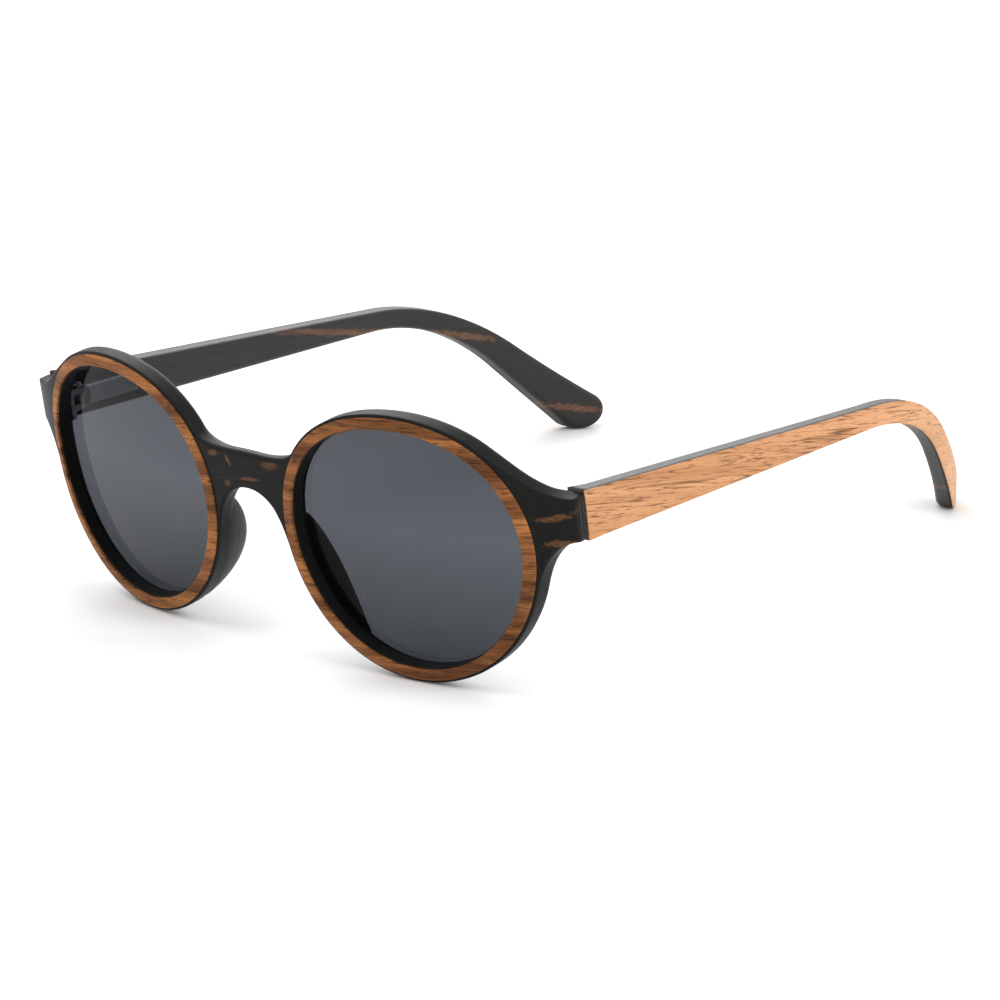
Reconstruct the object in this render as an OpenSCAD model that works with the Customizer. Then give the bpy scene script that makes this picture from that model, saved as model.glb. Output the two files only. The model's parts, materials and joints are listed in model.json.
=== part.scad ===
// Round wooden sunglasses, standing open on their rims and temple tips.
// Millimetres. +Z is up, the front faces -Y, and the wearer's left is +X.

/* [Eye shape] */
// Distance between the two lens centres
lens_spacing = 70.5; // [68:0.5:76]
// Mean radius of the outer edge of a lens ring
ring_radius = 26; // [24:0.25:27]
// Share of the radius by which the eye is wider than it is tall
eye_oval = 0.02; // [0:0.002:0.04]
// Share of the radius by which the eye narrows towards the cheek
eye_panto = 0.018; // [0:0.002:0.03]
// Share of the radius by which the eye is squared off
eye_square = 0.006; // [0:0.001:0.01]

/* [Front] */
// Width of the raised wooden ring round each lens
ring_width = 2.5; // [2:0.1:3.2]
// Height of the ring above the dark front
ring_proud = 0.6; // [0.4:0.1:1]
// Dark edge of the front outside each ring
rim_margin = 0.35; // [0.2:0.05:1]
// Thickness of the outer laminate, in front of the lens groove
outer_ply = 2.4; // [2:0.1:3]
// Thickness of the lip behind the lens groove
back_lip = 0.6; // [0.5:0.1:1]
// Radius of the front's curve seen from above
front_curve = 226; // [180:2:300]
// Lean of the front's top towards the viewer, in degrees
front_lean = 7.3; // [4:0.1:10]

/* [Lens] */
// Thickness of a lens
lens_t = 1; // [0.8:0.1:1.4]
// Depth of the lens edge in its groove
lens_bite = 0.9; // [0.6:0.1:1.2]
// Gap round the lens in its groove
lens_clear = 0.05; // [0.02:0.01:0.1]

/* [Bridge] */
// Height of the bridge's top edge above the lens centres
bridge_top = 13.1; // [11:0.1:15]
// Height of the bridge's arch above the lens centres
bridge_arch = 5.8; // [4:0.1:7]
// Half width of the flat at the bridge's top
bridge_flat = 4.5; // [3:0.1:6]
// Half width of the arch's crown
arch_half = 5.6; // [4:0.1:6.5]

/* [Endpieces] */
// Reach of an endpiece beyond the ring
end_reach = 6.9; // [6:0.1:9]
// Height of an endpiece's top edge above the lens centres
end_top = 11.7; // [10.8:0.1:13]
// Height of an endpiece's lower edge above the lens centres
end_bottom = 3.7; // [2.5:0.1:5]
// Depth of an endpiece's side face
end_depth = 2.5; // [2:0.1:3.5]
// Length over which an endpiece sweeps back
sweep_run = 10.6; // [9:0.1:14]
// Radius of that sweep
sweep_radius = 34; // [28:0.5:60]

/* [Nose pads] */
// Radius of the pad's rounded nose face
pad_radius = 4.2; // [4:0.1:5]
// Distance of the pad's fullest point behind the front's back face
pad_set = 1.2; // [1:0.1:2]
// Bulge of the pad beyond the front's edge
pad_bulge = 0.35; // [0.1:0.05:1]
// Step of the pad's lens side back from the lens opening
pad_inset = 0.4; // [0.2:0.1:0.8]
// Radius of the pad seen from the side
pad_side = 9.2; // [8.5:0.1:11]
// Height of the pad's middle below the lens centres
pad_drop = 8.8; // [7:0.1:10]

/* [Temples] */
// Thickness of a temple, veneer included
temple_t = 4; // [3.6:0.1:5]
// Thickness of the outer veneer
veneer_t = 0.8; // [0.5:0.1:1.2]
// Height of a temple at its hinge
temple_h = 9.2; // [7.5:0.1:10.5]
// Least height of a temple, where it bends over the ear
bend_h = 4.3; // [4:0.1:6]
// Height of the paddle at the temple's tip
tip_h = 8.4; // [6.5:0.1:9.5]
// Length from the hinge pin to the ear bend
straight_len = 85; // [75:0.5:95]
// Radius of the ear bend along the temple's centre line
bend_radius = 51; // [40:1:60]
// Fall of the temple's straight part, in degrees
temple_fall = 1.8; // [0.5:0.1:3]
// Slope of the tip behind the ear, in degrees
tip_slope = 43; // [38:0.5:50]
// Height of the temple's centre line above the hinge centre
temple_rise = 0; // [-0.5:0.1:1]
// Inward lean of the temple seen from above, in degrees
toe_in = 1.5; // [0:0.1:2.5]
// Length of the part that is straight seen from above
plan_straight = 84; // [60:1:95]
// Radius of the inward curve of the temple's end
plan_curve = 108; // [90:1:200]
// Gap between a temple's end and its endpiece
seam_gap = 0.3; // [0.2:0.05:0.5]

/* [Spring hinges] */
// Height of the hinge centre above the lens centres
hinge_z = 7.4; // [7:0.1:8.2]
// Radius of the hinge knuckles
knuckle_r = 1.4; // [1.3:0.05:1.5]
// Gap between the knuckles and a temple's inner face
knuckle_gap = 0.3; // [0.25:0.05:0.5]
// Distance of the pin behind the temple's end face
pin_set = 1.6; // [1.5:0.05:2]
// Radius of the hinge pin
pin_r = 0.6; // [0.5:0.05:0.7]
// Radial running clearance of pin and slider rod
run_clear = 0.05; // [0.03:0.01:0.08]
// Clearance of pressed and screwed fits
fit_clear = 0.02; // [0.01:0.01:0.03]
// Height of the slider's knuckle
slider_h = 1.7; // [1.5:0.1:2]
// Gap above and below the slider's knuckle
side_play = 0.1; // [0.05:0.01:0.15]
// Height of each knuckle on the front leaf
lug_h = 1.3; // [1:0.1:1.5]
// Thickness of the front leaf's plate
leaf_t = 1; // [0.8:0.1:1.2]
// Height of the front leaf's plate
leaf_h = 5.2; // [5:0.1:6]
// Radius of the leaf's and box's screw shanks
screw_r = 0.45; // [0.4:0.05:0.5]
// Radius of their countersunk heads
screw_head_r = 0.9; // [0.8:0.05:1]
// Length of those screws in the wood
screw_bite = 1.8; // [1.4:0.1:2]
// Distance between the two screws of a leaf
leaf_screw_gap = 2.8; // [2.4:0.1:3]

/* [Spring boxes] */
// Length of a spring box
box_len = 13; // [12:0.5:16]
// Radius of the box's bore
bore_r = 1.35; // [1.3:0.05:1.6]
// Wall of the box
box_wall = 0.6; // [0.5:0.05:0.8]
// Front wall of the box, which guides the rod
box_front = 1; // [0.8:0.1:1.4]
// Depth of the box in the temple
box_sink = 0.8; // [0.6:0.1:1.1]
// Gap between the knuckle and the box
box_gap = 0.5; // [0.4:0.05:0.8]
// Length of the box's tail plate
tail_len = 10; // [9:0.5:14]
// Thickness of the tail plate
tail_t = 1; // [0.8:0.1:1.2]
// Height of the tail plate
tail_h = 3.2; // [2.6:0.1:3.6]
// Radius of the slider's rod
rod_r = 0.55; // [0.5:0.05:0.6]
// Travel of the temple along its slider
travel = 1.2; // [0.8:0.1:1.4]
// Thickness of the collar at the rod's end
collar_t = 1; // [0.8:0.1:1.2]
// Length of the plug behind the bore
plug_t = 1.4; // [1:0.1:1.8]
// Wire diameter of the spring
wire_d = 0.3; // [0.25:0.05:0.3]
// Turns of the spring
spring_turns = 8; // [6:1:8]

/* [Hidden] */
$fn = 96;

// Angles on the eye outline, counted from its outer side, where the front's edges leave the rim
bridge_top_at = 146;
bridge_arch_at = -170;
end_top_at = 50;
end_bottom_at = -12;
// Step between outline points on the rim, in degrees
rim_step = 4;
// Step for the outline's direction at a point, in degrees
tangent_step = 0.1;
// Points on each blend
blend_n = 10;
// Length of the blends' handles
bridge_pull = 3.5;
arch_pull = 5.5;
end_pull = 8;
end_flat = 5.5;
foot_pull = 5;
foot_flat = 4;
// Lift and dip of the handles beside an endpiece's corners
end_lift = 0.3;
end_dip = 0.2;
// Where the nose pads start on the eye outline, and how far they turn, in degrees
pad_from = 166;
pad_turn = 62;
// Distance of the pad's side radius in front of the front's back face
pad_side_lead = 1;
// More than any size of the part, for cutting tools
reach = 200;
// Overshoot of cuts and joined blocks
over = 1;

lens_x = lens_spacing / 2;
front_back = ring_proud + outer_ply + lens_t + back_lip;
groove_d = ring_proud + outer_ply;

function eye_r(a) =
    ring_radius * (1 + eye_oval * cos(2 * a) + eye_panto * sin(3 * a) - eye_square * cos(4 * a));
function eye_pt(a, out) = [lens_x + (eye_r(a) + out) * cos(a), (eye_r(a) + out) * sin(a)];
function eye_dir(a, out) =
    let (d = eye_pt(a + tangent_step, out) - eye_pt(a - tangent_step, out)) d / norm(d);
function eye_ring(out) = [for (a = [0 : rim_step : 359]) eye_pt(a, out)];
function rim_run(a0, a1) =
    let (n = ceil(abs(a1 - a0) / rim_step)) [for (i = [1 : n]) eye_pt(a0 + (a1 - a0) * i / n, rim_margin)];
function blend(p, q, r, s) =
    [for (i = [1 : blend_n]) let (u = i / blend_n, v = 1 - u)
        v * v * v * p + 3 * v * v * u * q + 3 * v * u * u * r + u * u * u * s];

// The front's sweep seen from above: a wide arc, then a tighter one at each endpiece
end_x = lens_x + eye_r(0) + end_reach;
sweep_x = end_x - sweep_run;
sweep_at = asin(sweep_x / front_curve);
sweep_c = [
    sweep_x - sweep_radius * sin(sweep_at),
    front_curve - (front_curve - sweep_radius) * cos(sweep_at)
];
function face_y(x, d) =
    x < (front_curve - d) * sin(sweep_at)
    ? front_curve - sqrt(pow(front_curve - d, 2) - x * x)
    : sweep_c[1] - sqrt(pow(sweep_radius - d, 2) - pow(x - sweep_c[0], 2));

// The seat of the temple's end, and the pin, in the front's own frame
seat_y = face_y(end_x, ring_proud) + end_depth;
temple_in = end_x - temple_t;
pin_x = temple_in - knuckle_gap - knuckle_r;
pin_y = seat_y + seam_gap + pin_set;

// The front stands with its lowest rim edge on the floor
rim_low = [for (a = [-130 : 2 : -50]) let (p = eye_pt(a, rim_margin))
    face_y(p[0], ring_proud) * sin(front_lean) + p[1] * cos(front_lean)];
ring_level = -min(rim_low);
front_most = min([for (a = [0 : 4 : 356]) let (p = eye_pt(a, 0))
    face_y(p[0], 0) * cos(front_lean) - p[1] * sin(front_lean)]);
hinge_y = pin_y * cos(front_lean) - hinge_z * sin(front_lean);
hinge_h = pin_y * sin(front_lean) + hinge_z * cos(front_lean) + ring_level;

// The temple's centre line seen from the side: straight, ear bend, sloping tip that stands on the floor
line_0 = [hinge_y, hinge_h + temple_rise];
line_1 = line_0 + straight_len * [cos(temple_fall), -sin(temple_fall)];
function bend_pt(a) = line_1 + bend_radius * [sin(a) - sin(temple_fall), cos(a) - cos(temple_fall)];
line_2 = bend_pt(tip_slope);
tip_len = (line_2[1] - tip_h / 2) / sin(tip_slope);
line_3 = line_2 + tip_len * [cos(tip_slope), -sin(tip_slope)];
bend_len = bend_radius * (tip_slope - temple_fall) * PI / 180;
back_most = line_3[0] + tip_h / 2;
mid_y = (front_most + back_most) / 2;

// Height of the temple along the bend and the tip: slim over the ear, then widening to the paddle
widen = 2.2;
bend_n = 14;
tip_n = 4;
cap_n = 12;
front_over = 8;
// Angle that the inward curve is drawn over, in degrees
plan_sweep = 50;
function side_h(s) = bend_h + (tip_h - bend_h) * pow(s / (bend_len + tip_len), widen);
function edge_pt(p, a, h, up) = p + up * h / 2 * [sin(a), cos(a)];
function temple_edge(up) = concat(
    [edge_pt(line_0 - front_over * [cos(temple_fall), -sin(temple_fall)], temple_fall,
        temple_h + front_over * (temple_h - bend_h) / straight_len, up)],
    [for (i = [0 : bend_n]) let (a = temple_fall + (tip_slope - temple_fall) * i / bend_n)
        edge_pt(bend_pt(a), a, side_h(bend_len * i / bend_n), up)],
    [for (i = [1 : tip_n]) edge_pt(line_2 + (line_3 - line_2) * i / tip_n, tip_slope,
        side_h(bend_len + tip_len * i / tip_n), up)]
);
function reversed(v) = [for (i = [len(v) - 1 : -1 : 0]) v[i]];
temple_cap = [for (i = [1 : cap_n - 1]) let (a = 180 * i / cap_n - tip_slope)
    line_3 + tip_h / 2 * [cos(90 - a - 2 * tip_slope), sin(90 - a - 2 * tip_slope)]];
temple_side = concat(temple_edge(1), temple_cap, reversed(temple_edge(-1)));

// Length of the rod past its collar, and its start behind the pin's bore
rod_stub = 0.4;
rod_root = 0.35;
// Metal left between a leaf screw's head and the plate's end, and the gap between that head and the knuckles
screw_edge = 0.4;
screw_clear = 0.1;
// Distance of the first tail screw's head behind the box
tail_screw_set = 2;

// Places along the spring box, counted from the pin
box_0 = knuckle_r + box_gap;
box_1 = box_0 + box_len;
box_half = bore_r + box_wall;
box_out = knuckle_gap + knuckle_r + box_sink;
rod_end = box_1 - plug_t - travel;
collar_1 = rod_end - rod_stub;
collar_0 = collar_1 - collar_t;
spring_0 = box_0 + box_front;
lug_top = slider_h / 2 + side_play + lug_h;
// Countersink depth, and the hinge screw's head and driver slot
screw_head_d = 0.6;
head_t = 0.5;
slot_w = 0.3;
head_inset = 0.2;

// Frames

module on_front() {
    translate([0, -mid_y, ring_level])
        rotate([front_lean, 0, 0])
            children();
}

module on_floor() {
    translate([0, -mid_y, 0])
        children();
}

module at_pin() {
    on_floor()
        translate([pin_x, hinge_y, hinge_h])
            children();
}

module other_side() {
    mirror([1, 0, 0])
        children();
}

module along_y(y0, y1) {
    translate([0, y1, 0])
        rotate([90, 0, 0])
            linear_extrude(y1 - y0)
                children();
}

module rod_y(r, y0, y1) {
    translate([0, y0, 0])
        rotate([-90, 0, 0])
            cylinder(r = r, h = y1 - y0);
}

// The front

module eye(out) {
    polygon(eye_ring(out));
}

module both_eyes(out) {
    eye(out);
    mirror([1, 0])
        eye(out);
}

module front_outline() {
    tp = eye_pt(bridge_top_at, rim_margin);
    ep = eye_pt(end_top_at, rim_margin);
    fp = eye_pt(end_bottom_at, rim_margin);
    ap = eye_pt(bridge_arch_at, rim_margin);
    half = concat(
        [[0, bridge_top]],
        blend([0, bridge_top], [bridge_flat, bridge_top],
            tp + bridge_pull * eye_dir(bridge_top_at, rim_margin), tp),
        rim_run(bridge_top_at, end_top_at),
        blend(ep, ep - end_pull * eye_dir(end_top_at, rim_margin),
            [end_x - end_flat, end_top + end_lift], [end_x, end_top]),
        [[end_x, end_bottom]],
        blend([end_x, end_bottom], [end_x - foot_flat, end_bottom - end_dip],
            fp + foot_pull * eye_dir(end_bottom_at, rim_margin), fp),
        rim_run(end_bottom_at, bridge_arch_at),
        blend(ap, ap - arch_pull * eye_dir(bridge_arch_at, rim_margin),
            [arch_half, bridge_arch], [0, bridge_arch])
    );
    inner = [for (i = [len(half) - 2 : -1 : 1]) [-half[i][0], half[i][1]]];
    polygon(concat(half, inner));
}

// All that lies deeper than d behind the ring faces: the wide curve, and the tighter one at each endpiece
module behind(d, height) {
    edge = 2 * front_curve * [sin(sweep_at), -cos(sweep_at)];
    intersection() {
        translate([0, front_curve, 0])
            cylinder(r = front_curve - d, h = height, center = true, $fn = 360);
        translate([0, front_curve, 0])
            linear_extrude(height, center = true)
                polygon([[0, 0], edge, [-edge[0], edge[1]]]);
    }
    for (s = [-1, 1])
        translate([s * sweep_c[0], sweep_c[1], 0])
            cylinder(r = sweep_radius - d, h = height, center = true);
}

// A layer of the front between two depths
module layer(d0, d1) {
    difference() {
        behind(d0, reach);
        behind(d1, reach + 2 * over);
    }
}

module front_blank(d0, d1) {
    intersection() {
        along_y(-reach, seat_y)
            difference() {
                front_outline();
                both_eyes(-ring_width);
            }
        layer(d0, d1);
    }
}

module leaf_pockets() {
    leaf_place()
        leaf_plate(reach);
    leaf_place()
        leaf_screw_pair(fit_clear);
    other_side() {
        leaf_place()
            leaf_plate(reach);
        leaf_place()
            leaf_screw_pair(fit_clear);
    }
}

module front_outer() {
    color("#2b2725")
        on_front()
            difference() {
                front_blank(ring_proud, groove_d);
                leaf_pockets();
            }
}

module front_inner() {
    color("#3a332f")
        on_front()
            difference() {
                front_blank(groove_d, front_back);
                intersection() {
                    along_y(-reach, seat_y)
                        both_eyes(lens_bite + lens_clear - ring_width);
                    layer(groove_d, groove_d + lens_t);
                }
                leaf_pockets();
            }
}

module ring() {
    color("#8a5a34")
        on_front()
            intersection() {
                along_y(-reach, seat_y)
                    difference() {
                        eye(0);
                        eye(-ring_width);
                    }
                layer(0, ring_proud);
            }
}

module lens() {
    color("#5a5d64", 0.6)
        on_front()
            intersection() {
                along_y(-reach, seat_y)
                    eye(lens_bite - ring_width);
                layer(groove_d, groove_d + lens_t);
            }
}

// A nose pad: a round-faced flange turned about the lens centre, rounded from the side, glued to the front's back
module pad_section() {
    edge = eye_r(180) + rim_margin;
    full = front_back + pad_set;
    difference() {
        translate([edge + pad_bulge - pad_radius, -full])
            circle(pad_radius);
        translate([0, -reach / 2])
            square([eye_r(180) - ring_width + pad_inset, reach]);
    }
}

module nose_pad() {
    color("#332d2a")
        on_front()
            intersection() {
                translate([lens_x, 0, 0])
                    rotate([90, 0, 0])
                        rotate([0, 0, pad_from])
                            rotate_extrude(angle = pad_turn)
                                pad_section();
                translate([0, front_curve, 0])
                    cylinder(r = front_curve - front_back, h = reach, center = true, $fn = 360);
                translate([-reach / 2, front_back - pad_side_lead, -pad_drop])
                    rotate([0, 90, 0])
                        cylinder(r = pad_side, h = reach);
            }
}

// The hinge's front leaf, in the front's own frame with its origin at the pin

module leaf_place() {
    translate([pin_x, pin_y, hinge_z])
        children();
}

leaf_x1 = knuckle_r;
leaf_screw_x = -knuckle_r - screw_clear - screw_head_r;
leaf_x0 = leaf_screw_x - screw_head_r - screw_edge;
leaf_len = leaf_x1 - leaf_x0;
leaf_floor = face_y(pin_x + leaf_x0, front_back) - pin_y;
leaf_back = leaf_floor + leaf_t;

module leaf_plate(depth) {
    translate([leaf_x0, leaf_floor, -leaf_h / 2])
        cube([leaf_len, depth, leaf_h]);
}

module leaf_screw_pair(grow) {
    for (s = [-1, 1])
        translate([leaf_screw_x, leaf_back, s * leaf_screw_gap / 2])
            rotate([90, 0, 0])
                countersunk(leaf_t + screw_bite, grow);
}

// A countersunk screw along +Z with its head's face at zero, larger by grow for its hole
module countersunk(length, grow) {
    rotate_extrude()
        polygon([[0, 0], [screw_head_r + grow, 0], [screw_r + grow, screw_head_d],
            [screw_r + grow, length - screw_r + grow], [0, length + grow]]);
}

module lug() {
    difference() {
        union() {
            cylinder(r = knuckle_r, h = lug_h);
            translate([-knuckle_r, leaf_floor, 0])
                cube([2 * knuckle_r, -leaf_floor, lug_h]);
        }
        translate([0, 0, -over])
            cylinder(r = pin_r + fit_clear, h = lug_h + 2 * over);
    }
}

module hinge_leaf() {
    color("#b9bcc0")
        on_front()
            leaf_place()
                difference() {
                    union() {
                        leaf_plate(leaf_t);
                        translate([0, 0, slider_h / 2 + side_play])
                            lug();
                        translate([0, 0, -lug_top])
                            lug();
                    }
                    leaf_screw_pair(fit_clear);
                }
}

module leaf_screws() {
    color("#d0d2d4")
        on_front()
            leaf_place()
                leaf_screw_pair(0);
}

module hinge_screw() {
    color("#d0d2d4")
        on_front()
            leaf_place()
                difference() {
                    union() {
                        translate([0, 0, -lug_top])
                            cylinder(r = pin_r, h = 2 * lug_top + head_t);
                        translate([0, 0, lug_top])
                            cylinder(r = knuckle_r - head_inset, h = head_t);
                    }
                    translate([-reach / 2, -slot_w / 2, lug_top + head_t / 2])
                        cube([reach, slot_w, head_t]);
                }
}

// The sliding half of the hinge

module slider() {
    color("#c4c6c9") {
        on_front()
            leaf_place()
                difference() {
                    cylinder(r = knuckle_r, h = slider_h, center = true);
                    cylinder(r = pin_r + run_clear, h = 2 * slider_h, center = true);
                }
        at_pin()
            rod_y(rod_r, pin_r + run_clear + rod_root, rod_end);
    }
}

module slider_collar() {
    color("#9fa2a6")
        at_pin()
            difference() {
                rod_y(bore_r - run_clear, collar_0, collar_1);
                rod_y(rod_r + fit_clear, collar_0 - over, collar_1 + over);
            }
}

// The coil: one tube wound round the rod
coil_rings = 8;
wire_sides = 6;
wire_r = wire_d / 2;
coil_r = (rod_r + bore_r) / 2;
coil_run = collar_0 - spring_0 - wire_d - 2 * fit_clear;
coil_steps = coil_rings * spring_turns;
function coil_at(i) = 360 * i / coil_rings;
function coil_pt(i) = [
    coil_r * cos(coil_at(i)),
    spring_0 + wire_r + fit_clear + coil_run * i / coil_steps,
    coil_r * sin(coil_at(i))
];
function coil_ring(i) =
    let (p = coil_pt(i), out = [cos(coil_at(i)), 0, sin(coil_at(i))])
    [for (k = [0 : wire_sides - 1]) let (t = 360 * k / wire_sides)
        p + wire_r * (cos(t) * out + sin(t) * [0, 1, 0])];
coil_gap = min([for (i = [0 : coil_steps - coil_rings]) norm(coil_pt(i + coil_rings) - coil_pt(i))]) - wire_d;
echo(least_gap_between_coils = coil_gap);

module spring() {
    n = wire_sides;
    points = [for (i = [0 : coil_steps]) each coil_ring(i)];
    skin = [for (i = [0 : coil_steps - 1], k = [0 : n - 1])
        let (a = n * i + k, b = n * i + (k + 1) % n)
        each [[a, a + n, b], [b, a + n, b + n]]];
    last = n * coil_steps;
    caps = [for (k = [1 : n - 2]) each [[0, k, k + 1], [last, last + k + 1, last + k]]];
    color("#7d8084")
        at_pin()
            polyhedron(points = points, faces = concat(skin, caps));
}

module box_profile() {
    circle(box_half);
    translate([0, -box_half])
        square([box_out, 2 * box_half]);
}

tail_x0 = box_out - tail_t;

module box_body() {
    along_y(box_0, box_1)
        box_profile();
    translate([tail_x0, box_1 - over, -tail_h / 2])
        cube([tail_t, tail_len + over - tail_h / 2, tail_h]);
    translate([tail_x0, box_1 + tail_len - tail_h / 2, 0])
        rotate([0, 90, 0])
            cylinder(d = tail_h, h = tail_t);
}

module box_screw_pair(grow) {
    for (y = [box_1 + tail_screw_set + screw_head_r, box_1 + tail_len - tail_h / 2])
        translate([tail_x0, y, 0])
            rotate([0, 90, 0])
                countersunk(tail_t + screw_bite, grow);
}

module spring_box() {
    color("#aeb1b5")
        at_pin()
            difference() {
                box_body();
                rod_y(bore_r, box_0 + box_front, box_1 + over);
                rod_y(rod_r + run_clear, box_0 - over, box_1);
                box_screw_pair(fit_clear);
            }
}

module box_plug() {
    color("#8f9296")
        at_pin()
            rod_y(bore_r - fit_clear, box_1 - plug_t, box_1);
}

module box_screws() {
    color("#d0d2d4")
        at_pin()
            box_screw_pair(0);
}

// The temples

module temple_plan(in0, in1) {
    translate([end_x, hinge_y - pin_set])
        rotate(toe_in) {
            translate([-in1, -front_over])
                square([in1 - in0, front_over + plan_straight]);
            translate([-plan_curve, plan_straight])
                intersection() {
                    difference() {
                        circle(plan_curve - in0, $fn = 180);
                        circle(plan_curve - in1, $fn = 180);
                    }
                    polygon([[0, 0], [2 * plan_curve, 0], 2 * plan_curve * [cos(plan_sweep), sin(plan_sweep)]]);
                }
        }
}

module temple_layer(in0, in1) {
    on_floor()
        intersection() {
            translate([0, 0, -reach / 2])
                linear_extrude(reach)
                    temple_plan(in0, in1);
            rotate([90, 0, 90])
                linear_extrude(reach)
                    polygon(temple_side);
            translate([0, 0, ring_level])
                rotate([front_lean, 0, 0])
                    translate([0, seat_y + seam_gap, -reach / 2])
                        cube([reach, reach, reach]);
        }
}

module temple_core() {
    color("#3d3632")
        difference() {
            temple_layer(veneer_t, temple_t);
            at_pin() {
                box_body();
                box_screw_pair(fit_clear);
            }
        }
}

module temple_veneer() {
    color("#c98f5d")
        temple_layer(0, veneer_t);
}

front_outer();
front_inner();
ring();  // left_ring
other_side() ring();  // right_ring
lens();  // left_lens
other_side() lens();  // right_lens
nose_pad();  // left_nose_pad
other_side() nose_pad();  // right_nose_pad
hinge_leaf();  // left_hinge_leaf
other_side() hinge_leaf();  // right_hinge_leaf
leaf_screws();  // left_leaf_screws
other_side() leaf_screws();  // right_leaf_screws
hinge_screw();  // left_hinge_screw
other_side() hinge_screw();  // right_hinge_screw
slider();  // left_slider
other_side() slider();  // right_slider
slider_collar();  // left_slider_collar
other_side() slider_collar();  // right_slider_collar
spring();  // left_spring
other_side() spring();  // right_spring
spring_box();  // left_spring_box
other_side() spring_box();  // right_spring_box
box_plug();  // left_box_plug
other_side() box_plug();  // right_box_plug
box_screws();  // left_box_screws
other_side() box_screws();  // right_box_screws
temple_core();  // left_temple_core
other_side() temple_core();  // right_temple_core
temple_veneer();  // left_temple_veneer
other_side() temple_veneer();  // right_temple_veneer
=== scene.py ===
"""Looks for round wooden sunglasses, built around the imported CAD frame.

Sizes are in millimetres until a point is placed, and in metres after that.
"""

import json
import math

import bmesh
import bpy
import numpy as np
from mathutils import Matrix, Vector
from mathutils.geometry import delaunay_2d_cdt


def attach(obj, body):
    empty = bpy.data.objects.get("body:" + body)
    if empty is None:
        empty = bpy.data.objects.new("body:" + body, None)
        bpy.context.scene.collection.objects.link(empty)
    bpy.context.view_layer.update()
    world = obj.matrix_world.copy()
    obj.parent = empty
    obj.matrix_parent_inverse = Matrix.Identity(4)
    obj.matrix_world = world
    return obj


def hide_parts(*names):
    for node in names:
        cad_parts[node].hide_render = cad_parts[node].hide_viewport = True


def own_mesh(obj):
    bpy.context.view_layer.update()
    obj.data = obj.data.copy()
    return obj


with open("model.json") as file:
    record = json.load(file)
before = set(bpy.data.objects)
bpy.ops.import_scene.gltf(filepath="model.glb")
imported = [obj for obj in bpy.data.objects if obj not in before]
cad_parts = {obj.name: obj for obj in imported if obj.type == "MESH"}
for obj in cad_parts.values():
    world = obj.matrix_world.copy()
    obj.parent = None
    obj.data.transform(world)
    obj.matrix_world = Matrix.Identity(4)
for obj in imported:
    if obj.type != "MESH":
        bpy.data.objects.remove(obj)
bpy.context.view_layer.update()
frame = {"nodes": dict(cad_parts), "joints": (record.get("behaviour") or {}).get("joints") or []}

MM = 0.001

# Eye shape and front, as in the CAD
LENS_X = 35.25
RING_RADIUS = 26.0
EYE_OVAL = 0.02
EYE_PANTO = 0.018
EYE_SQUARE = 0.006
RING_WIDTH = 2.5
RING_PROUD = 0.6
RIM_MARGIN = 0.35
FRONT_BACK = 4.6
FRONT_CURVE = 226.0
FRONT_LEAN = math.radians(7.3)
BRIDGE_TOP = 13.1
BRIDGE_ARCH = 5.8
BRIDGE_FLAT = 4.5
ARCH_HALF = 5.6
END_REACH = 6.9
END_TOP = 11.7
END_BOTTOM = 3.7
END_DEPTH = 2.5
SWEEP_RUN = 10.6
SWEEP_RADIUS = 34.0
# Angles on the eye outline where the front's edges leave the rim, and the handles of the blends there
BRIDGE_TOP_AT = 146
BRIDGE_ARCH_AT = -170
END_TOP_AT = 50
END_BOTTOM_AT = -12
BRIDGE_PULL = 3.5
ARCH_PULL = 5.5
END_PULL = 8.0
END_FLAT = 5.5
END_LIFT = 0.3
FOOT_PULL = 5.0
FOOT_FLAT = 4.0
END_DIP = 0.2

# Temples
TEMPLE_T = 4.0
VENEER_T = 0.8
TEMPLE_H = 9.2
BEND_H = 4.3
TIP_H = 8.4
STRAIGHT_LEN = 85.0
BEND_RADIUS = 51.0
TEMPLE_FALL = math.radians(1.8)
TIP_SLOPE = math.radians(43.0)
TOE_IN = math.radians(1.5)
PLAN_STRAIGHT = 84.0
PLAN_CURVE = 108.0
SEAM_GAP = 0.3
WIDEN = 2.2

# Hinges
HINGE_Z = 7.4
KNUCKLE_R = 1.4
KNUCKLE_GAP = 0.3
PIN_SET = 1.6
LEAF_LEN = 5.1
LEAF_H = 5.2
POCKET_REACH = 20.0
SPRING_FROM = 2.92
SPRING_TO = 10.88
SPRING_R = 0.95
WIRE_R = 0.15
SPRING_TURNS = 8
HINGE_NODES = (
    "hinge_leaf",
    "leaf_screws",
    "hinge_screw",
    "slider",
    "slider_collar",
    "spring_box",
    "box_plug",
    "box_screws",
)

# Nose pads, as crescents along the nasal sides of the rims: from and to are angles on the eye outline
PAD_FROM = 176
PAD_TO = 237
PAD_DEPTH = 5.35
PAD_FLARE = 0.5
PAD_FULL = 0.8
PAD_SKEW = 0.9
PAD_POWER = 0.72
PAD_INSET = 0.4
PAD_PROUD = 0.02
PAD_MELT = 0.35 * PAD_DEPTH
# Corners of the section inside the wood, from its foot and from the rim
PAD_ROOTS = (Vector((0.3, -0.7)), Vector((-0.4, -0.5)))
# A cubic blend rises to this share of the height of its two handles
CREST_SHARE = 0.75

# Roundings of the visible edges, and those of edges that meet another piece
FRONT_EDGE = 0.3
BACK_EDGE = 1.4
RING_EDGE = 0.22
RING_FOOT = 0.02
RING_SLOPE = 0.34
RING_TRIM = 0.18
VENEER_EDGE = 0.4
INNER_EDGE = 1.1
GLUE_EDGE = 0.01
# Shares of the front's two roundings at the lens openings, and of the back one at the butt faces
OPENING_SHARES = (0.4, 0.857)
BUTT_SHARE = 0.12
BUTT_FADE = 5.0
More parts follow.
